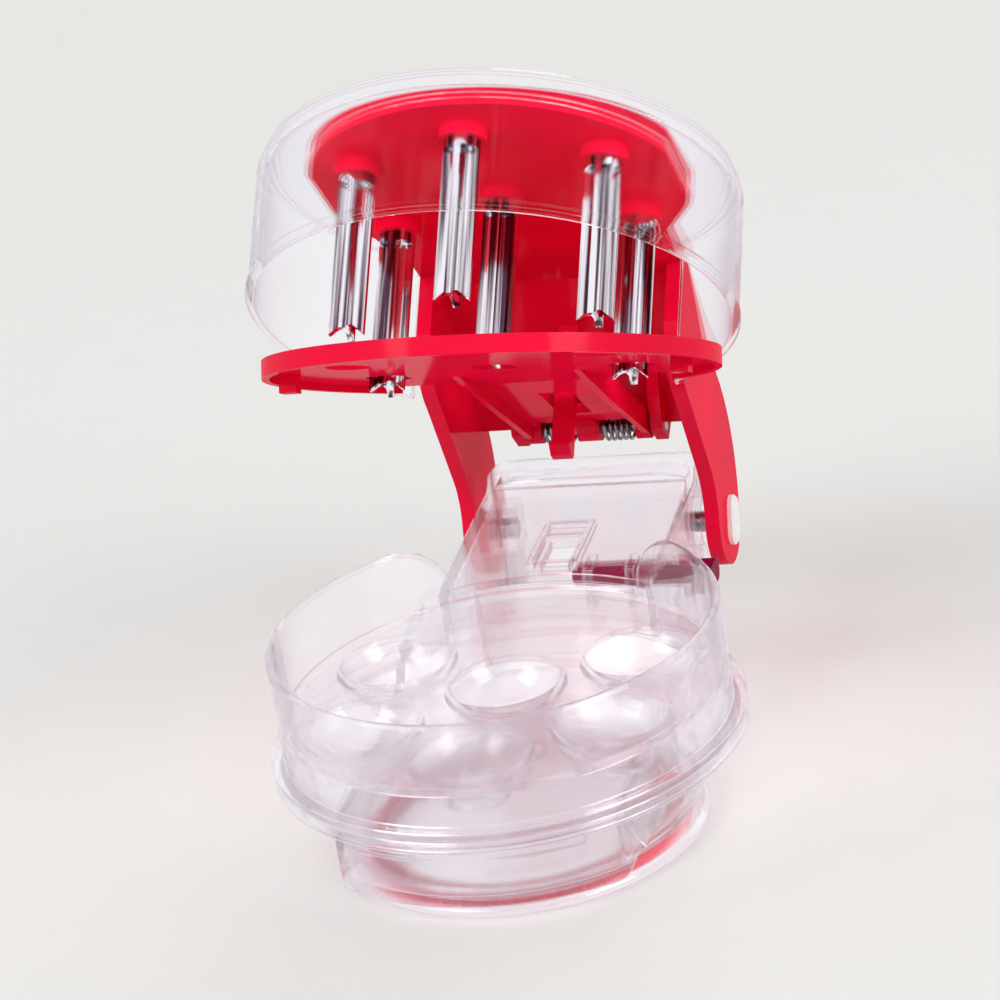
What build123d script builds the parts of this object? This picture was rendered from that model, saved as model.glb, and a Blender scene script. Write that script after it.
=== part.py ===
from build123d import *
from math import cos, pi, sin
import os

# Multi cherry pitter, in millimetres. Z is up, the front is towards -Y.
# Pieces are drawn with the origin on the axis of the cherry bowl, at the table,
# and written with it under the middle of the open pitter, FRAME_Y further back.
# The pieces of the lid are drawn shut and then swung open to the pose at rest.

FRAME_Y = 30.757

# Rear hinge of the lid, and the hinge of the stripper plate inside the lid
HINGE_Y = 102.0
HINGE_Z = 27.0
OPEN_ANGLE = 47.0
STRIP_Y = 86.5
STRIP_Z = 46.0
DROP_ANGLE = 19.0

# Cherry bowl
RIM_R = 50.8
RIM_Z = 52.0
BOWL_WALL = 2.0
FLOOR_Z = 36.0
FLOOR_T = 2.0
FLANGE_R = 53.7
FLANGE_Z = 24.6
CUP_R = 13.5
CUP_WALL = 1.8
CUP_Z = 40.5
PIT_HOLE_R = 6.0
NOTCH_HALF = 22.0
EAR_R = 14.0
CUPS = [(-28.4, -16.4), (0, -30.9), (28.4, -16.4), (-28.4, 15.2), (0, 2.3), (28.4, 15.2)]
CUP_NAMES = ["front_left", "front_middle", "front_right", "rear_left", "rear_middle", "rear_right"]

# Base and rear tower
FOOT_R = 42.0
BASE_TOP_R = 51.8
BASE_TOP_Z = 24.4
BASE_FLOOR_Z = 7.0
SHELL = 2.0
RING_IN_R = 32.3
RING_OUT_R = 36.0
RING_T = 2.4
TOWER_HALF = 25.5
TOWER_REAR_Y = 109.0
DECK_Z = 40.0
CREST_Z = 44.5
WING_HALF = 36.0
WING_REAR_Y = 72.0
WING_Z = 26.5

# Pit drawer
DRAWER_HALF = 32.6
DRAWER_Z = 7.4
DRAWER_TOP_Z = 21.4
DRAWER_CORNER_Y = -38.2
DRAWER_FRONT_Y = -49.6
DRAWER_BACK_R = 38.0

# Lid: lever, clear shield and pins
CHEEK_OUT = 31.5
CHEEK_IN = 28.0
CEILING_Z = 68.0
CEILING_T = 3.0
LID_R = 43.5
LID_HALF = 41.5
SHIELD_R = 55.0
SHIELD_WALL = 1.6
SHIELD_Z = 37.5
SHIELD_TOP_Z = 71.0
PIN_R = 4.05
PIN_TIP_Z = 26.8
PIN_ROOT_Z = 66.8

# Stripper plate
PLATE_R = 51.3
PLATE_Z = 54.0
PLATE_T = 2.6
TAIL_HALF = 15.0
SPRING_ROOM = 11.5
STRIP_PIN_R = 1.5
BARREL_R = 3.2

# Coil springs of the stripper plate
SPRING_R = 3.0
SPRING_WIRE = 0.9
SPRING_PITCH = 1.4
SPRING_TURNS = 4.85

# Hinge pins and lock
HINGE_PIN_R = 2.5
LOCK_Y = 57.5
LOCK_Z = 32.0
LOCK_SIZE = 4.0
HOOK_HALF = 2.5

os.makedirs("parts", exist_ok=True)
hinge_axis = Axis((0, HINGE_Y, HINGE_Z), (1, 0, 0))
strip_axis = Axis((0, STRIP_Y, STRIP_Z), (1, 0, 0))


def block(x0, x1, y0, y1, z0, z1):
    """Box between two corners."""
    size = (x1 - x0, y1 - y0, z1 - z0)
    return Pos((x0 + x1) / 2, (y0 + y1) / 2, (z0 + z1) / 2) * Box(*size)


def post(x, y, z0, z1, radius):
    """Upright cylinder."""
    return Pos(x, y, (z0 + z1) / 2) * Cylinder(radius, z1 - z0)


def rod(y, z, x0, x1, radius):
    """Cylinder along X."""
    return Pos((x0 + x1) / 2, y, z) * Rot(0, 90, 0) * Cylinder(radius, x1 - x0)


def turned_ring(points):
    """Solid of revolution about Z from (radius, height) points."""
    wire = Polyline([(r, 0, z) for r, z in points], close=True)
    return revolve(make_face(wire), Axis.Z, 360)


def side_form(outline, x0, x1):
    """Flat plate between x0 and x1 whose outline is drawn in the YZ plane."""
    return extrude(Pos(x0, 0, 0) * make_face(outline), amount=x1 - x0, dir=(1, 0, 0))


def side_slab(points, x0, x1):
    """Flat plate between x0 and x1 with straight edges between (y, z) points."""
    return side_form(Polyline([(0, y, z) for y, z in points], close=True), x0, x1)


def side_arc(*points):
    """Arc through three (y, z) points of the YZ plane."""
    return ThreePointArc(*[(0, y, z) for y, z in points])


def lid_open(shape):
    """Swing a piece of the lid from shut to the open pose at rest."""
    return shape.rotate(hinge_axis, -OPEN_ANGLE)


def plate_open(shape):
    """Drop a piece of the stripper plate, then swing it open with the lid."""
    return lid_open(shape.rotate(strip_axis, DROP_ANGLE))


def save(shape, name):
    """Write one node."""
    export_step(Pos(0, -FRAME_Y, 0) * shape, "parts/" + name + ".step")


def lid_outline(grow):
    """Outline of the lever head seen from above: round front, narrowed rear."""
    radius = LID_R + grow
    half = LID_HALF + grow
    front_y = -(radius**2 - half**2) ** 0.5
    neck = CHEEK_OUT
    corners = [(half, 12), (neck, 29 + grow), (neck, 46)]
    right = Polyline([(half, front_y)] + corners)
    left = Polyline([(-half, front_y)] + [(-x, y) for x, y in corners])
    front = ThreePointArc((-half, front_y), (0, -radius), (half, front_y))
    back = Line((neck, 46), (-neck, 46))
    face = make_face(front + right + back + left)
    return fillet([corner for corner in face.vertices() if 5 < corner.Y < 20], 12)


# Base body: a round foot, a flared wall with a doorway for the drawer, and a
# hollow tower behind the bowl that carries the hinge and the keeper of the lock
def tower_solid(inset):
    """Tower as a filled block, its walls moved inwards by inset."""
    rear = TOWER_REAR_Y - inset
    crest = CREST_Z - inset
    deck = DECK_Z - inset
    half = TOWER_HALF - inset
    slope = Polyline((0, rear - 14.5, deck), (0, 30, deck - 2.2), (0, 30, 0), (0, rear, 0),
                     (0, rear, crest - 6))
    ridge = side_arc((rear, crest - 6), (rear - 1.8, crest - 1.8), (rear - 6, crest))
    brow = side_arc((rear - 6, crest), (rear - 9.2, crest - 1), (rear - 11, crest - 2.6))
    valley = side_arc((rear - 11, crest - 2.6), (rear - 12.4, deck + 0.6), (rear - 14.5, deck))
    plan = block(-half, half, 30, rear, 0, 60)
    upright = plan.edges().filter_by(Axis.Z).group_by(Axis.Y)[-1]
    over = ThreePointArc((-half, 0, crest - 1.8), (0, 0, crest), (half, 0, crest - 1.8))
    under = Polyline(over @ 1, (half, 0, -1), (-half, 0, -1), over @ 0)
    arch = extrude(make_face(over + under), amount=120, dir=(0, 1, 0))
    return side_form(slope + ridge + brow + valley, -half, half) & fillet(upright, 7 - inset) & arch


def wing_solid(inset):
    """Low block between the round base and the tower."""
    half = WING_HALF - inset
    body = block(-half, half, 25, WING_REAR_Y - inset, 0, WING_Z - inset)
    upright = body.edges().filter_by(Axis.Z).group_by(Axis.Y)[-1]
    return fillet(upright, 8 - inset)


foot_wall = turned_ring([(0, 5), (RING_IN_R - 1.6, 5), (RING_IN_R - 1.6, 0.6), (RING_IN_R, 0.6),
                         (RING_IN_R, RING_T), (RING_OUT_R, RING_T), (RING_OUT_R, 0.6),
                         (RING_OUT_R + 1.6, 0.6), (RING_OUT_R + 1.6, 5), (FOOT_R - 3, 5), (FOOT_R - 3, 0.6),
                         (FOOT_R, 0.6), (FOOT_R, 2.4), (FOOT_R - 1.2, 3), (FOOT_R - 1.2, BASE_FLOOR_Z),
                         (BASE_TOP_R, BASE_TOP_Z), (BASE_TOP_R - SHELL, BASE_TOP_Z),
                         (FOOT_R - 1.2 - SHELL, BASE_FLOOR_Z), (0, BASE_FLOOR_Z)])
round_core = turned_ring([(0, 0), (FOOT_R - 1.4, 0), (FOOT_R - 1.4, BASE_FLOOR_Z),
                          (BASE_TOP_R - 0.2, BASE_TOP_Z), (RIM_R + 0.5, BASE_TOP_Z),
                          (RIM_R + 0.5, RIM_Z), (0, RIM_Z)])
shell_rear = (tower_solid(0) + wing_solid(0)) - (tower_solid(SHELL) + wing_solid(SHELL))
bowl_seat = turned_ring([(0, BASE_TOP_Z), (FLANGE_R + 0.3, BASE_TOP_Z), (FLANGE_R + 0.3, 28), (0, 28)])
shell_rear = shell_rear - round_core
wing_cut = bowl_seat - block(-TOWER_HALF, TOWER_HALF, 20, 80, 20, 30)
shell_rear = shell_rear - wing_cut
base = foot_wall + shell_rear
doorway = block(-DRAWER_HALF - 0.7, DRAWER_HALF + 0.7, -60, 0, BASE_FLOOR_Z, DRAWER_TOP_Z + 0.7)
base = base - doorway
frame = block(-6, 6, 53, 76, DECK_Z - 1.5, DECK_Z + 0.8) - block(-4.6, 4.6, 54.4, 74.6, 30, 50)
frame = frame + block(-4.6, 4.6, 68.2, 69.6, DECK_Z - 1.5, DECK_Z + 0.8)
base = base + frame - block(-3.3, 3.3, 55.5, 68.2, 34, 50)
for x in (7.5, 17.5):
    base = base + block(x - 1, x + 1, 55.5, 63.5, 27, DECK_Z - 1.8)
for x in (-27.6, 20.5):
    base = base + rod(HINGE_Y, HINGE_Z, x, x + 7.1, 6.0)
base = base - rod(HINGE_Y, HINGE_Z, -30, 30, HINGE_PIN_R + 0.08)
base = base - block(0, 27, LOCK_Y - 0.3, LOCK_Y + LOCK_SIZE + 0.3, LOCK_Z - 0.3, LOCK_Z + LOCK_SIZE + 0.3)
save(base, "base_body")

# Non-slip ring under the foot
save(turned_ring([(RING_IN_R, 0), (RING_OUT_R, 0), (RING_OUT_R, RING_T), (RING_IN_R, RING_T)]),
     "nonslip_ring")


# Pit drawer: an open tray with a bowed front that slides out forwards
def drawer_outline(inset):
    """Plan of the drawer with its walls moved inwards by inset."""
    half = DRAWER_HALF - inset
    radius = DRAWER_BACK_R - inset
    side_y = (radius**2 - half**2) ** 0.5
    corner_y = DRAWER_CORNER_Y + inset
    front = ThreePointArc((-half, corner_y), (0, DRAWER_FRONT_Y + inset), (half, corner_y))
    right = Line((half, corner_y), (half, side_y))
    back = ThreePointArc((half, side_y), (0, radius), (-half, side_y))
    left = Line((-half, side_y), (-half, corner_y))
    return make_face(front + right + back + left)


tray = extrude(Pos(0, 0, DRAWER_Z) * drawer_outline(0), amount=DRAWER_TOP_Z - DRAWER_Z)
tray = fillet(tray.edges().filter_by(Axis.Z).group_by(Axis.Y)[0], 6)
hollow = extrude(Pos(0, 0, DRAWER_Z + 1.8) * drawer_outline(1.8), amount=20)
hollow = fillet(hollow.edges().filter_by(Axis.Z).group_by(Axis.Y)[0], 4.2)
drawer = tray - hollow
lip = extrude(Pos(0, -1.8, DRAWER_TOP_Z - 2) * drawer_outline(0), amount=2)
lip = (lip & block(-26, 26, -50, -38, 0, 40)) - hollow
save(drawer + lip, "pit_drawer")

# Cherry bowl: round wall with a rear notch between two rounded ears, a floor
# with six cups, a pit hole with a collar under each cup, and a seating flange
bowl = turned_ring([(0, FLOOR_Z - FLOOR_T), (RIM_R - BOWL_WALL - 0.2, FLOOR_Z - FLOOR_T),
                    (RIM_R - BOWL_WALL - 0.2, FLANGE_Z), (FLANGE_R - 1.4, FLANGE_Z),
                    (FLANGE_R - 1.4, FLANGE_Z - 2), (FLANGE_R, FLANGE_Z - 2),
                    (FLANGE_R, FLANGE_Z + 3), (RIM_R - 0.2, FLANGE_Z + 3), (RIM_R, RIM_Z - 0.9),
                    (RIM_R - 0.5, RIM_Z - 0.2), (RIM_R - 1, RIM_Z), (RIM_R - 1.5, RIM_Z - 0.2),
                    (RIM_R - BOWL_WALL, RIM_Z - 0.9), (RIM_R - BOWL_WALL, FLOOR_Z), (0, FLOOR_Z)])


def on_cup(radius, z):
    """Point at a height on a sphere round the cherry's middle."""
    return ((radius**2 - (CUP_Z - z) ** 2) ** 0.5, 0, z)


collar_r = PIT_HOLE_R + 1.5
cup_out = CUP_R + CUP_WALL
hole_z = CUP_Z - (CUP_R**2 - PIT_HOLE_R**2) ** 0.5
collar_z = CUP_Z - (cup_out**2 - collar_r**2) ** 0.5
under_z = FLOOR_Z - FLOOR_T
mouth_out = on_cup(cup_out, under_z)[0]
inside = ThreePointArc(on_cup(CUP_R, FLOOR_Z), on_cup(CUP_R, 31.5), (PIT_HOLE_R, 0, hole_z))
outside = ThreePointArc((collar_r, 0, collar_z), on_cup(cup_out, 30), (mouth_out, 0, under_z))
collar = Polyline([inside @ 1, (PIT_HOLE_R, 0, FLANGE_Z), (collar_r, 0, FLANGE_Z), outside @ 0])
edge = Polyline([outside @ 1, (mouth_out, 0, FLOOR_Z), inside @ 0])
cup = revolve(make_face(inside + collar + outside + edge), Axis.Z, 360)
for x, y in CUPS:
    bowl = bowl - post(x, y, under_z - 1, FLOOR_Z + 1, mouth_out)
for x, y in CUPS:
    bowl = bowl + Pos(x, y, 0) * cup
notch_top = RIM_Z + 1
notch_low = RIM_Z - EAR_R
for side in (-1, 1):
    inner = side * NOTCH_HALF
    outer = side * (NOTCH_HALF + EAR_R)
    ear = block(min(inner, outer), max(inner, outer), 20, 60, notch_low, notch_top)
    ear = ear - Pos(outer, 40, notch_low) * Rot(90, 0, 0) * Cylinder(EAR_R, 60)
    bowl = bowl - ear
bowl = bowl - block(-NOTCH_HALF, NOTCH_HALF, 30, 60, FLOOR_Z + 0.6, notch_top)
bowl = bowl - block(-TOWER_HALF - 0.4, TOWER_HALF + 0.4, 40, 60, 20, FLANGE_Z + 4)
bowl = bowl - block(-WING_HALF - 0.4, WING_HALF + 0.4, 30, 60, 20, FLANGE_Z)
save(bowl, "cherry_bowl")


# Lever: a head that holds the pins, two cheeks with hinge knuckles, a sloping
# roof that joins the cheeks, and the hook of the lock
def cheek(x0):
    """One side of the lever between the head and its hinge knuckle."""
    top_z = CEILING_Z + CEILING_T
    root = Polyline((0, 43.6, 53), (0, 43.6, top_z), (0, 50, top_z), (0, 82, 56))
    back = side_arc((82, 56), (101, 46), (112, 28))
    knuckle = side_arc((112, 28), (101, 16), (91, 22.4))
    heel = side_arc((91, 22.4), (87, 27.6), (80, 31.5))
    belly = Line((0, 80, 31.5), (0, 56, 39.6))
    throat = side_arc((56, 39.6), (46.9, 45), (43.6, 53))
    outline = root + back + knuckle + heel + belly + throat
    return side_form(outline, x0, x0 + CHEEK_OUT - CHEEK_IN)


roof_line = [(40, CEILING_Z + CEILING_T), (50, CEILING_Z + CEILING_T), (82, 56), (92, 51),
             (90.8, 48.3), (81, 53.2), (49, CEILING_Z), (40, CEILING_Z)]
head = extrude(Pos(0, 0, CEILING_Z) * lid_outline(0), amount=CEILING_T)
lever = head + cheek(CHEEK_IN) + cheek(-CHEEK_OUT) + side_slab(roof_line, -CHEEK_IN, CHEEK_IN)
for x, y in CUPS:
    lever = lever + post(x, y, CEILING_Z - 3, CEILING_Z, PIN_R + 1.3)
for x, y in CUPS:
    lever = lever - post(x, y, CEILING_Z - 4, CEILING_Z + CEILING_T - 1, PIN_R)
hook_back = LOCK_Y + LOCK_SIZE + 0.6
hook = side_slab([(hook_back, 64), (hook_back, LOCK_Z - 0.5), (hook_back - 2.2, LOCK_Z - 0.5),
                  (hook_back - 2.2, LOCK_Z - 1.4), (hook_back, LOCK_Z - 3.2),
                  (hook_back + 2.4, LOCK_Z - 3.2), (hook_back + 2.8, 62.5)], -HOOK_HALF, HOOK_HALF)
lever = lever + hook
lever = lever - rod(HINGE_Y, HINGE_Z, -CHEEK_OUT, CHEEK_OUT, HINGE_PIN_R)
for x0 in (-18.6, 15.6):
    lever = lever + side_slab([(76, 55.4), (91, 49), (89.6, 43.4), (83.4, 43.4), (78, 50)], x0, x0 + 3)
lever = lever - rod(STRIP_Y, STRIP_Z, -18.6, 18.6, STRIP_PIN_R)
save(lid_open(lever), "lever_frame")



# Crowned cover of the lever head, which closes the pins in from above
top = side_arc((-53, SHIELD_TOP_Z), (-3, SHIELD_TOP_Z + 3.4), (50, SHIELD_TOP_Z + 0.8))
sides = Polyline(top @ 1, (0, 50, 60), (0, -53, 60), top @ 0)
crown = side_form(top + sides, -60, 60)
cover = extrude(Pos(0, 0, SHIELD_TOP_Z) * lid_outline(0), amount=14) & crown
save(lid_open(cover), "lever_cover")

# Clear shield: a drum round the pins, open below and cut away behind
shield_in = SHIELD_R - SHIELD_WALL
drum = turned_ring([(shield_in, SHIELD_Z), (SHIELD_R - 0.2, SHIELD_Z), (SHIELD_R + 0.4, SHIELD_Z + 0.6),
                    (SHIELD_R + 0.4, SHIELD_Z + 1.6), (SHIELD_R, SHIELD_Z + 2.2),
                    (SHIELD_R, SHIELD_TOP_Z - 4.4), (SHIELD_R - 0.6, SHIELD_TOP_Z - 1.8),
                    (SHIELD_R - 1.6, SHIELD_TOP_Z - 0.1), (SHIELD_R - 1.8, SHIELD_TOP_Z + 0.7),
                    (SHIELD_R - 3.2, SHIELD_TOP_Z + 0.7), (SHIELD_R - 3.6, SHIELD_TOP_Z),
                    (0, SHIELD_TOP_Z), (0, SHIELD_TOP_Z - SHIELD_WALL),
                    (shield_in - 3.6, SHIELD_TOP_Z - SHIELD_WALL),
                    (shield_in - 1.6, SHIELD_TOP_Z - 2.4), (shield_in - 0.5, SHIELD_TOP_Z - 3.5),
                    (shield_in, SHIELD_TOP_Z - 5.4)])
drum = drum - extrude(Pos(0, 0, SHIELD_TOP_Z - 4) * lid_outline(0.05), amount=8)
drum = drum - block(-CHEEK_OUT, CHEEK_OUT, 20, 60, SHIELD_Z - 1, SHIELD_TOP_Z + 1)
save(lid_open(drum), "splash_shield")

# Pitting pins: rods with four blades and a hollowed, four-pointed tip
quarter = [(PIN_R, 0.75), (2.3, 0.85), (1.35, 1.35), (0.85, 2.3), (0.75, PIN_R)]
blades = []
for turn in range(4):
    for x, y in quarter:
        angle = turn * pi / 2
        blades.append((x * cos(angle) - y * sin(angle), x * sin(angle) + y * cos(angle), PIN_TIP_Z))
shaft = extrude(make_face(Polyline(blades, close=True)), amount=PIN_ROOT_Z - 4 - PIN_TIP_Z)
shaft = shaft - Pos(0, 0, PIN_TIP_Z + 1.5) * Cone(3.9, 0.6, 3)
shaft = shaft + post(0, 0, PIN_ROOT_Z - 4, CEILING_Z + CEILING_T - 1, PIN_R)
for (x, y), place in zip(CUPS, CUP_NAMES):
    save(lid_open(Pos(x, y, 0) * shaft), "pin_" + place)

# Stripper plate: a rimmed disc with six slots for the pins, and a ribbed tail
# that reaches back between the cheeks to its own hinge
disc = turned_ring([(0, PLATE_Z), (PLATE_R - 1.6, PLATE_Z), (PLATE_R - 1.6, PLATE_Z - 1.6),
                    (PLATE_R, PLATE_Z - 1.6), (PLATE_R, PLATE_Z + PLATE_T), (0, PLATE_Z + PLATE_T)])
disc = disc - block(-60, 60, 38, 60, 40, 60)
tail_line = [(34, PLATE_Z), (34, PLATE_Z + PLATE_T), (44, PLATE_Z + PLATE_T),
             (STRIP_Y, STRIP_Z + 2.4), (STRIP_Y, STRIP_Z), (44, PLATE_Z)]
rib_line = [(20, PLATE_Z), (44, PLATE_Z), (STRIP_Y, STRIP_Z + 1), (STRIP_Y, STRIP_Z - 2.6),
            (46, PLATE_Z - 4.6), (28, PLATE_Z - 1.5)]
plate = disc + side_slab(tail_line, -TAIL_HALF, TAIL_HALF)
for side in (-1, 1):
    foot_x = side * (TAIL_HALF + 8)
    bend = ThreePointArc((foot_x, 38), (side * (TAIL_HALF + 2.4), 40.4), (side * TAIL_HALF, 46))
    web = make_face(bend + Polyline((side * TAIL_HALF, 46), (side * TAIL_HALF, 37), (foot_x, 37),
                                    (foot_x, 38)))
    plate = plate + extrude(Pos(0, 0, PLATE_Z) * web, amount=PLATE_T, dir=(0, 0, 1))
for x in (-TAIL_HALF, TAIL_HALF - 1.5):
    plate = plate + side_slab(rib_line, x, x + 1.5)
plate = plate - block(-SPRING_ROOM, SPRING_ROOM, STRIP_Y - 6.5, STRIP_Y + 5, 40, 60)
plate = plate + side_slab([(STRIP_Y - 9, STRIP_Z + 0.9), (STRIP_Y - 9, STRIP_Z + 3.4),
                           (STRIP_Y, STRIP_Z + 2.6), (STRIP_Y, STRIP_Z)], -2.8, 2.8)
for x0, x1 in ((-TAIL_HALF, -SPRING_ROOM), (-2.8, 2.8), (SPRING_ROOM, TAIL_HALF)):
    plate = plate + rod(STRIP_Y, STRIP_Z, x0, x1, BARREL_R)
plate = plate - rod(STRIP_Y, STRIP_Z, -20, 20, STRIP_PIN_R + 0.08)
for side in (-1, 1):
    lug = block(side * 45 - 2, side * 45 + 2, -9, -5, PLATE_Z - 4.2, PLATE_Z)
    plate = plate + lug
for x, y in CUPS:
    slot = extrude(Pos(x, y - 0.6, PLATE_Z - 2) * Rot(0, 0, 90) * SlotOverall(12.8, 9.6), amount=6)
    plate = plate - slot
plate = plate - block(-4, 4, 54, 73, 40, 60)
save(plate_open(plate), "stripper_plate")

# Hinge pin of the stripper plate, held in the lever's two ears
save(lid_open(rod(STRIP_Y, STRIP_Z, -18.6, 18.6, STRIP_PIN_R)), "stripper_hinge_pin")


# Coil springs, one on each side of the stripper plate's middle knuckle. Each
# turn is drawn as pairs of arcs that meet smoothly, one pair to a half turn.
def on_coil(angle):
    """Point and direction on the middle line of the wire."""
    rise = SPRING_PITCH / (2 * pi)
    place = Vector(SPRING_R * cos(angle), SPRING_R * sin(angle), rise * angle)
    along = Vector(-SPRING_R * sin(angle), SPRING_R * cos(angle), rise)
    return place, along.normalized()


def arc_pair(start, end):
    """Two arcs that join two places on the coil without a kink."""
    (p, t), (q, u) = on_coil(start), on_coil(end)
    across = q - p
    both = t + u
    spread = 2 * (1 - t.dot(u))
    reach = (-across.dot(both) + (across.dot(both) ** 2 + spread * across.dot(across)) ** 0.5) / spread
    middle = (p + q + (t - u) * reach) * 0.5
    onward = (q - u * reach - p - t * reach).normalized()
    return [TangentArc(p, middle, tangent=t), TangentArc(middle, q, tangent=onward)]


def spring(x0, start_angle, legs):
    """Coil along X round the stripper hinge, with a straight leg at each end."""
    first, last = on_coil(0), on_coil(2 * pi * SPRING_TURNS)
    pairs = round(SPRING_TURNS * 2)
    step = 2 * pi * SPRING_TURNS / pairs
    path = [Line(first[0] - first[1] * legs[0], first[0])]
    for i in range(pairs):
        path = path + arc_pair(step * i, step * (i + 1))
    path.append(Line(last[0], last[0] + last[1] * legs[1]))
    section = Plane(origin=path[0] @ 0, z_dir=first[1]) * RegularPolygon(SPRING_WIRE / 2, 8)
    body = sweep(section, path=Wire([part if isinstance(part, Edge) else part.edge() for part in path]))
    return Pos(x0, STRIP_Y, STRIP_Z) * Rot(0, 90, 0) * Rot(0, 0, start_angle) * body


def least_gap():
    """Least distance between the wire's surfaces of neighbouring turns."""
    steps = 48
    points = []
    for i in range(int(SPRING_TURNS * steps) + 1):
        points.append(on_coil(2 * pi * i / steps)[0])
    least = SPRING_PITCH
    for i, p in enumerate(points):
        for q in points[i + steps // 2:]:
            least = min(least, (p - q).length)
    return least - SPRING_WIRE


print("least gap between the turns of a spring", round(least_gap(), 2), "mm")
for name, x0 in (("left", -10.7), ("right", 3.9)):
    coil = spring(x0, 243.4, (3.6, 4.0))
    save(lid_open(coil), "stripper_spring_" + name)

# Two short hinge pins of the lid, fixed in the cheeks, and their oval end caps
for name, x in (("left", -CHEEK_OUT), ("right", 21)):
    save(lid_open(rod(HINGE_Y, HINGE_Z, x, x + CHEEK_OUT - 21, HINGE_PIN_R)), "hinge_pin_" + name)
for name, side in (("left", -1), ("right", 1)):
    cap = extrude(SlotOverall(12, 6.6), amount=1.6)
    cap = chamfer(cap.edges().group_by(Axis.Z)[-1], 0.6)
    cap = Rot(21, 0, 0) * Rot(0, 90, 0) * cap
    if side < 0:
        cap = mirror(cap, about=Plane.YZ)
    save(lid_open(Pos(side * CHEEK_OUT, HINGE_Y, HINGE_Z) * cap), "hinge_cap_" + name)

# Lock bar: slides inwards under the deck, over the nose of the lid's hook
bar_back = LOCK_Y + LOCK_SIZE
bar = block(3.4, 33, LOCK_Y, bar_back, LOCK_Z, LOCK_Z + LOCK_SIZE)
knob = block(33, 36.5, LOCK_Y - 3.5, bar_back + 3.5, LOCK_Z - 2, LOCK_Z + LOCK_SIZE - 0.6)
knob = fillet(knob.edges().filter_by(Axis.X), 2.4)
save(bar + knob, "lock_bar")
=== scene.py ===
from math import cos, radians, sin

import bpy
from mathutils import Matrix, Vector

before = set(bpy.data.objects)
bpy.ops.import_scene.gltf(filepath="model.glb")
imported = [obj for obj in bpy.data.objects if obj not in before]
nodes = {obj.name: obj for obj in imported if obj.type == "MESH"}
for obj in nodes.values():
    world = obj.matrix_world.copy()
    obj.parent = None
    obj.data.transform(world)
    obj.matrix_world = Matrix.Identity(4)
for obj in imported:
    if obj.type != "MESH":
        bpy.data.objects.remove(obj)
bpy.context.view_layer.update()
bpy.ops.object.select_all(action="DESELECT")
scene = bpy.context.scene


# Base body: the foot, the flared wall and the rear tower, injection moulded in one
# piece from clear plastic. The walls carry faint flow lines from the melt. Each edge
# carries a painted highlight, a silver metallic stripe, with a painted plum shade
# fringe, and the plum shade is also painted where the walls turn from the eye.
class Flow:
    """A value that runs through a finish's nodes, with arithmetic written as such."""

    def __init__(self, tree, socket):
        self.tree = tree
        self.socket = socket

    def maths(self, operation, first, second):
        """A Math node on two values, each a flow or a number."""
        step = self.tree.nodes.new("ShaderNodeMath")
        step.operation = operation
        for place, value in enumerate((first, second)):
            if isinstance(value, Flow):
                self.tree.links.new(value.socket, step.inputs[place])
            else:
                step.inputs[place].default_value = value
        return Flow(self.tree, step.outputs[0])

    def __add__(self, other):
        return self.maths("ADD", self, other)

    def __radd__(self, other):
        return self.maths("ADD", other, self)

    def __sub__(self, other):
        return self.maths("SUBTRACT", self, other)

    def __rsub__(self, other):
        return self.maths("SUBTRACT", other, self)

    def __mul__(self, other):
        return self.maths("MULTIPLY", self, other)

    def __rmul__(self, other):
        return self.maths("MULTIPLY", other, self)

    def __pow__(self, other):
        return self.maths("POWER", self, other)

    def at_least(self, other):
        """The larger of this value and another."""
        return self.maths("MAXIMUM", self, other)

    def held(self):
        """This value, kept between nought and one."""
        return self.maths("MINIMUM", self.at_least(0.0), 1.0)

    def rising(self, start, rate):
        """Nought up to a start, and from there rising at a rate until it is one."""
        return ((self - start) * rate).held()


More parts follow.
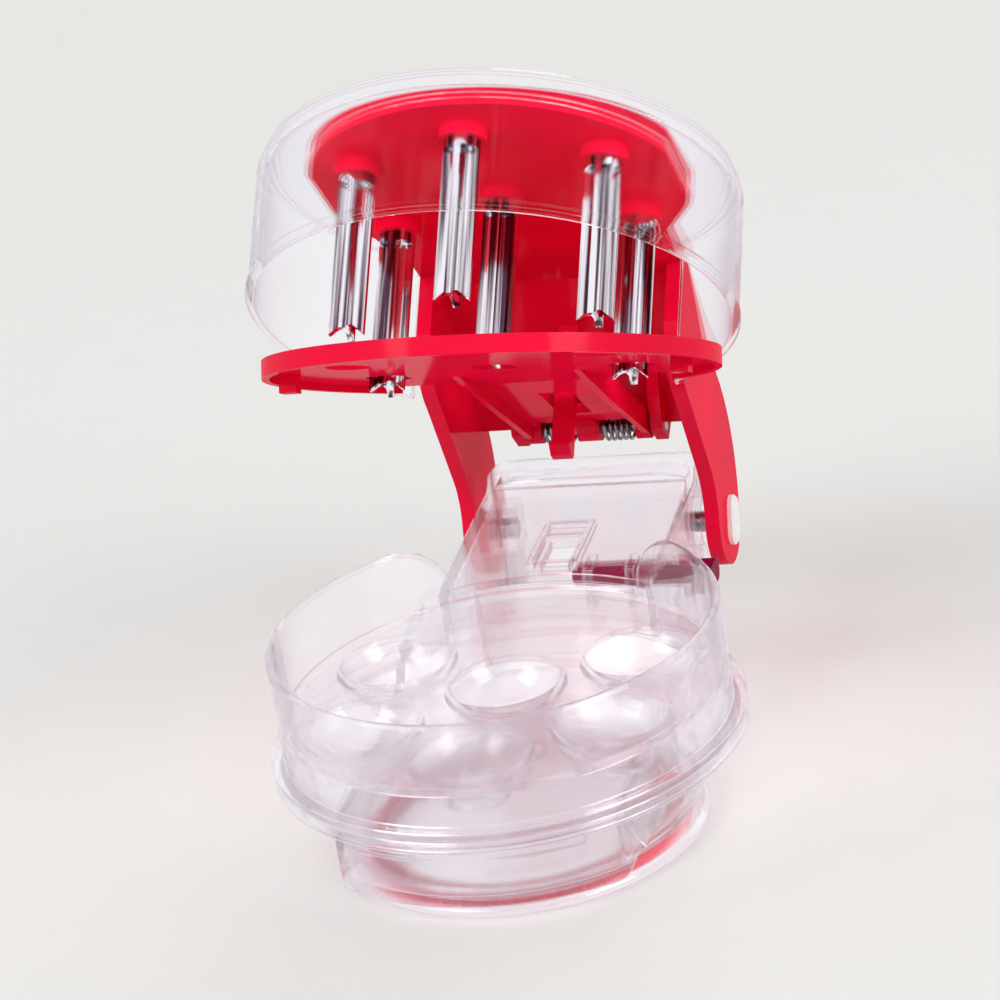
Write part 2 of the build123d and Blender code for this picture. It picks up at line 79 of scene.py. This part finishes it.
class Finish:
    """One finish, or the world round the object, whose nodes are added one by one."""

    def __init__(self, name, shelf=bpy.data.materials):
        self.block = shelf.new(name)
        self.block.use_nodes = True
        self.tree = self.block.node_tree
        self.tree.nodes.clear()
        self.place = self.node("ShaderNodeTexCoord", {}, {}, "Object")

    def node(self, kind, settings, sockets, result=0):
        """Any node: its settings first, then the values or links of its sockets."""
        made = self.tree.nodes.new(kind)
        for setting, value in settings.items():
            setattr(made, setting, value)
        for socket, value in sockets.items():
            if isinstance(value, Flow):
                self.tree.links.new(value.socket, made.inputs[socket])
            else:
                made.inputs[socket].default_value = value
        return Flow(self.tree, made.outputs[result]) if len(made.outputs) else None

    def noise(self, scale, detail, stretch=(1, 1, 1), turn=0.0):
        """Noise through the piece, turned about X and then squeezed along each axis."""
        turned = self.node("ShaderNodeMapping", {},
                           {"Vector": self.place, "Rotation": (turn, 0, 0)}, "Vector")
        laid = self.node("ShaderNodeMapping", {}, {"Vector": turned, "Scale": stretch}, "Vector")
        return self.node("ShaderNodeTexNoise", {},
                         {"Vector": laid, "Scale": scale, "Detail": detail}, "Fac")

    def grazing(self):
        """Nought where a wall faces the eye, and one where it turns away."""
        return self.node("ShaderNodeLayerWeight", {}, {"Blend": 0.5}, "Facing")

    def corner(self, radius):
        """The normal of edges rounded to a radius, and how far it leaves the flat one."""
        rounded = self.node("ShaderNodeBevel", {"samples": 4}, {"Radius": radius})
        flat = self.node("ShaderNodeNewGeometry", {}, {}, "Normal")
        agree = self.node("ShaderNodeVectorMath", {"operation": "DOT_PRODUCT"},
                          {0: rounded, 1: flat}, "Value")
        return rounded, ((1.0 - agree) * 3.0).held()

    def blend(self, share, first, second):
        """A colour between two, on the Mix node's sockets for colours: 6, 7 and 2."""
        ends = [(*end, 1.0) if isinstance(end, tuple) else end for end in (first, second)]
        return self.node("ShaderNodeMix", {"data_type": "RGBA"},
                         {0: share, 6: ends[0], 7: ends[1]}, 2)

    def bump(self, height, depth, over=None):
        """The surface raised by a height times a depth in metres, over a given normal."""
        sockets = {"Strength": 1.0, "Distance": depth, "Height": height}
        if over:
            sockets["Normal"] = over
        return self.node("ShaderNodeBump", {}, sockets, "Normal")

    def principled(self, sockets, open_share=None, open_tint=None):
        """The shader, with a share that lets what is behind it through in a tint."""
        shader = self.node("ShaderNodeBsdfPrincipled", {}, sockets, "BSDF")
        if open_share:
            passed = self.node("ShaderNodeBsdfTransparent", {}, {"Color": (*open_tint, 1.0)})
            shader = self.node("ShaderNodeMixShader", {}, {0: open_share, 1: shader, 2: passed})
        self.node("ShaderNodeOutputMaterial", {}, {"Surface": shader})

    def dress(self, *names):
        """Gives the finish to these nodes."""
        for name in names:
            piece = nodes[name]
            piece.data.materials.clear()
            piece.data.materials.append(self.block)


# Colours of the painted shade and the painted highlight on the clear plastic's edges.
PAINTED_SHADE_PLUM = (0.27, 0.10, 0.26)
PAINTED_HIGHLIGHT_SILVER = (0.97, 0.95, 0.98)
CLEAR_OPEN_TINT = (0.998, 0.996, 0.999)
CLEAR_OPEN_SHARE = 0.44
CLEAR_SHADOW_SHARE = 0.93
CLEAR_EDGE_RADIUS = 0.0008
CLEAR_RELIEF = 0.0002


def clear_plastic(name, tint, pale, stretch, clearness, gloss, bending):
    """Clear moulded plastic: two tints along the melt's flow, painted edge highlight and shade.
    """
    clear = Finish(name)
    flow = clear.noise(9.0, 2.0, stretch)
    haze = clear.noise(160.0, 3.0)
    rounded, corner = clear.corner(CLEAR_EDGE_RADIUS)
    # Painted shade: plum where a wall turns from the eye and along its edges.
    painted_shade_fringe = (clear.grazing() ** 4.0 + corner * 1.2).held()
    # Painted highlight: a silver metallic stripe along the edges.
    painted_highlight_line = corner.rising(start=0.42, rate=3.5)
    colour = clear.blend((flow * 1.6 - 0.35).held(), tint, pale)
    colour = clear.blend(painted_highlight_line, clear.blend(painted_shade_fringe, colour, PAINTED_SHADE_PLUM), PAINTED_HIGHLIGHT_SILVER)
    shadow = clear.node("ShaderNodeLightPath", {}, {}, "Is Shadow Ray")
    open_share = CLEAR_OPEN_SHARE - painted_shade_fringe * CLEAR_OPEN_SHARE
    clear.principled({"Base Color": colour, "Roughness": haze * 0.02,
                      "Normal": clear.bump(flow * 0.8 + haze * 0.05, CLEAR_RELIEF, rounded),
                      "Metallic": painted_highlight_line * 0.85, "IOR": bending,
                      "Transmission Weight": clearness, "Coat Weight": gloss + painted_shade_fringe * 0.5,
                      "Coat Roughness": 0.06, "Coat IOR": 1.9},
                     open_share.at_least(shadow * CLEAR_SHADOW_SHARE), CLEAR_OPEN_TINT)
    return clear


clear_plastic("clear_base", tint=(0.97, 0.945, 0.98), pale=(1.0, 0.99, 1.0),
              stretch=(1, 1, 3), clearness=0.98, gloss=0.45, bending=1.08).dress("base_body")

# Cherry bowl: a round tray with six cups, moulded from clear plastic, dropped into
# the base and held by its flange. Its tint is a little paler than the base's.
clear_plastic("clear_bowl", tint=(0.98, 0.965, 0.99), pale=(1.0, 0.995, 1.0),
              stretch=(1, 1, 4), clearness=0.97, gloss=0.45, bending=1.07).dress("cherry_bowl")

# Pit drawer: a thin clear tray, moulded in one piece. It slides on the floor of the
# base and comes out through the doorway at the front.
clear_plastic("clear_drawer", tint=(0.975, 0.955, 0.985), pale=(1.0, 0.99, 1.0),
              stretch=(2, 1, 1), clearness=0.98, gloss=0.4, bending=1.05).dress("pit_drawer")

# Splash shield: a thin clear drum, moulded and welded round the head of the lever.
# It is the clearest of the four clear pieces and has the least gloss.
clear_plastic("clear_shield", tint=(0.965, 0.97, 1.0), pale=(0.985, 0.988, 1.0),
              stretch=(1, 1, 2), clearness=1.0, gloss=0.06, bending=1.02).dress("splash_shield")


# Lever, its cover, the stripper plate and the lock bar: deep red plastic, each
# moulded in one piece, with soft swirls from the pigment, hairline scratches and
# edges that shine.
RED_EDGE_RADIUS = 0.0004
RED_RELIEF = 0.0002
SCRATCH_TURN = radians(20)


def red_plastic(name, bright, dark, roughness):
    """Red plastic with drifting pigment, hairline scratches and glossy edges."""
    red = Finish(name)
    swirl = red.noise(26.0, 3.0, (1, 1, 2))
    hairs = red.noise(420.0, 1.0, (1, 14, 1), SCRATCH_TURN).rising(start=0.62, rate=7.0)
    rounded, corner = red.corner(RED_EDGE_RADIUS)
    colour = red.blend((swirl * 1.5 - 0.25).held(), bright, dark)
    red.principled({"Base Color": colour, "Roughness": roughness + swirl * 0.06 + hairs * 0.12,
                    "Normal": red.bump(swirl * 0.5 + hairs * 0.02, RED_RELIEF, rounded),
                    "IOR": 1.4, "Specular IOR Level": 0.0,
                    "Coat Weight": 0.14 + swirl * 0.08 + corner * 0.4, "Coat Roughness": 0.1})
    return red


red_plastic("red_lever", bright=(0.98, 0.004, 0.046), dark=(0.68, 0.003, 0.034),
            roughness=0.26).dress("lever_frame", "lever_cover")
red_plastic("red_plate", bright=(0.99, 0.004, 0.046), dark=(0.72, 0.003, 0.034),
            roughness=0.28).dress("stripper_plate")
red_plastic("red_lock", bright=(0.26, 0.004, 0.05), dark=(0.16, 0.003, 0.035),
            roughness=0.30).dress("lock_bar")

# Non-slip ring: soft red rubber with a fine grain, moulded as a ring and pressed
# into a groove under the foot.
RUBBER_RELIEF = 0.00008
rubber = Finish("red_rubber")
grain = rubber.noise(900.0, 2.0)
rubber.principled({"Base Color": rubber.blend(grain, (0.92, 0.005, 0.05), (0.74, 0.004, 0.04)),
                   "Roughness": 0.5 + grain * 0.2, "Normal": rubber.bump(grain, RUBBER_RELIEF)})
rubber.dress("nonslip_ring")

# Pitting pins: fluted metal rods with hollowed four-point tips, drawn and bright
# plated. The drawing lines run along the rods, which lean with the open lid. The dark
# plum streaks painted along them are painted reflections of dark and red surroundings.
PIN_TURN = radians(47)
PIN_RELIEF = 0.0001
plated = Finish("plated_pin")
drawing_lines_and_painted_streaks = plated.noise(620.0, 2.0, (1, 1, 0.02), PIN_TURN)
# Painted reflection: dark plum streaks in the plating's colour, along the drawing lines.
painted_reflection_streaks = drawing_lines_and_painted_streaks.rising(start=0.43, rate=6.0)
plated.principled({"Base Color": plated.blend(painted_reflection_streaks, (0.93, 0.91, 0.94), (0.10, 0.04, 0.07)),
                   "Roughness": 0.06 + drawing_lines_and_painted_streaks * 0.10, "Metallic": 1.0,
                   "Normal": plated.bump(drawing_lines_and_painted_streaks, PIN_RELIEF)})
plated.dress("pin_front_left", "pin_front_middle", "pin_front_right",
             "pin_rear_left", "pin_rear_middle", "pin_rear_right")

# Stripper springs, the plate's pin and the two hinge pins of the lid: drawn steel,
# cut to length, with drawing lines and the dull sheen of wire that was oiled.
steel = Finish("drawn_steel")
drawn = steel.noise(700.0, 2.0, (0.1, 1, 1))
steel.principled({"Base Color": steel.blend(drawn, (0.36, 0.34, 0.36), (0.18, 0.16, 0.19)),
                  "Roughness": 0.16 + drawn * 0.14, "Metallic": 1.0})
steel.dress("stripper_spring_left", "stripper_spring_right", "stripper_hinge_pin",
            "hinge_pin_left", "hinge_pin_right")

# Hinge caps: white oval plastic buttons, moulded and slightly mottled, pressed over
# the outer ends of the two hinge pins.
button = Finish("white_button")
mottle = button.noise(200.0, 2.0)
button.principled({"Base Color": button.blend(mottle, (0.90, 0.89, 0.88), (0.82, 0.80, 0.80)),
                   "Roughness": 0.22 + mottle * 0.10})
button.dress("hinge_cap_left", "hinge_cap_right")

# Studio: a pale table top that keeps the pitter's shadow and fades into the pale
# wall behind it. The clear and the bright pieces bend and mirror paler versions of
# both, so that they don't look grey.
WALL = (0.80, 0.795, 0.765)
MIRRORED_WALL = (0.98, 0.965, 1.0)
TABLE_SIZE = 12.0
TABLE_MIDDLE = (0, 2.0, 0)
FADE_START = 0.30
bpy.ops.mesh.primitive_plane_add(size=TABLE_SIZE, location=TABLE_MIDDLE)
table = bpy.context.object
table.name = "table_top"
bpy.ops.object.transform_apply(location=True, rotation=True, scale=True)
paper = Finish("pale_paper")
fibre = paper.noise(60.0, 2.0)
board = paper.node("ShaderNodeBsdfPrincipled", {}, {
    "Base Color": paper.blend(fibre, (0.78, 0.785, 0.755), (0.76, 0.765, 0.735)),
    "Roughness": 0.9, "Specular IOR Level": 0.1})
reach = paper.node("ShaderNodeVectorMath", {"operation": "LENGTH"}, {0: paper.place}, "Value")


def looked_at(finish):
    """One for a ray that shows the background at all, and for one bent or mirrored."""
    rays = [finish.node("ShaderNodeLightPath", {}, {}, f"Is {kind} Ray")
            for kind in ("Camera", "Transmission", "Glossy")]
    return (rays[0] + rays[1] + rays[2]).held(), (rays[1] + rays[2]).held()


looked, bent = looked_at(paper)
faded = paper.node("ShaderNodeEmission", {}, {
    "Color": paper.blend(bent, WALL, MIRRORED_WALL), "Strength": 1.0})
far = (reach.rising(FADE_START, rate=2.2) * looked).at_least(bent * 0.6)
surface = paper.node("ShaderNodeMixShader", {}, {0: far, 1: board, 2: faded})
paper.node("ShaderNodeOutputMaterial", {}, {"Surface": surface})
table.data.materials.append(paper.block)

sky = Finish("studio", bpy.data.worlds)
glow = sky.node("ShaderNodeBackground", {}, {"Color": (0.97, 0.97, 1.0, 1.0), "Strength": 0.62})
looked, bent = looked_at(sky)
wall = sky.blend(bent, WALL, MIRRORED_WALL)
shown = sky.node("ShaderNodeBackground", {}, {"Color": wall, "Strength": 1.0})
mixed = sky.node("ShaderNodeMixShader", {}, {0: looked, 1: glow, 2: shown})
sky.node("ShaderNodeOutputWorld", {}, {"Surface": mixed})
scene.world = sky.block


LAMP_AIM = Vector((0, 0.1, 0.05))


def lamp(name, place, size, power):
    """A square soft box turned to the pitter, its size in metres and power in watts."""
    bpy.ops.object.light_add(type="AREA", location=place)
    box = bpy.context.object
    box.name = name
    box.data.size = size
    box.data.energy = power
    box.rotation_euler = (LAMP_AIM - Vector(place)).to_track_quat("-Z", "Y").to_euler()


lamp("soft_box_left", (-1.5, -1.4, 1.9), size=1.4, power=28.0)
lamp("soft_box_right", (1.8, -0.8, 1.3), size=1.2, power=20.0)
lamp("soft_box_rear", (0.3, 2.0, 1.7), size=1.2, power=9.0)

# Camera: the nearest ordinary camera to the view in the picture, moved in so that
# the pitter fills more of the frame. Its lens was fitted in pixels of that frame.
FRAME_PIXELS = 1000
LENS_PIXELS = 5147.8
SENSOR_WIDTH = 36.0
DISTANCE = 1.1571
azimuth, elevation, roll = radians(16.87), radians(23.38), radians(-9.62)
aim = Vector((-0.00256, -0.000497, 0.06743))
back = Vector((sin(azimuth) * cos(elevation), -cos(azimuth) * cos(elevation), sin(elevation)))
level = Vector((cos(azimuth), sin(azimuth), 0))
upright = back.cross(level)
across = cos(roll) * level + sin(roll) * upright
above = cos(roll) * upright - sin(roll) * level
turned = Matrix((across, above, back)).transposed().to_4x4()
bpy.ops.object.camera_add()
camera = bpy.context.object
camera.matrix_world = Matrix.Translation(aim + back * DISTANCE) @ turned
camera.data.sensor_width = SENSOR_WIDTH
camera.data.lens = LENS_PIXELS / FRAME_PIXELS * SENSOR_WIDTH
camera.data.clip_end = 50.0
scene.camera = camera
scene.view_settings.view_transform = "Standard"
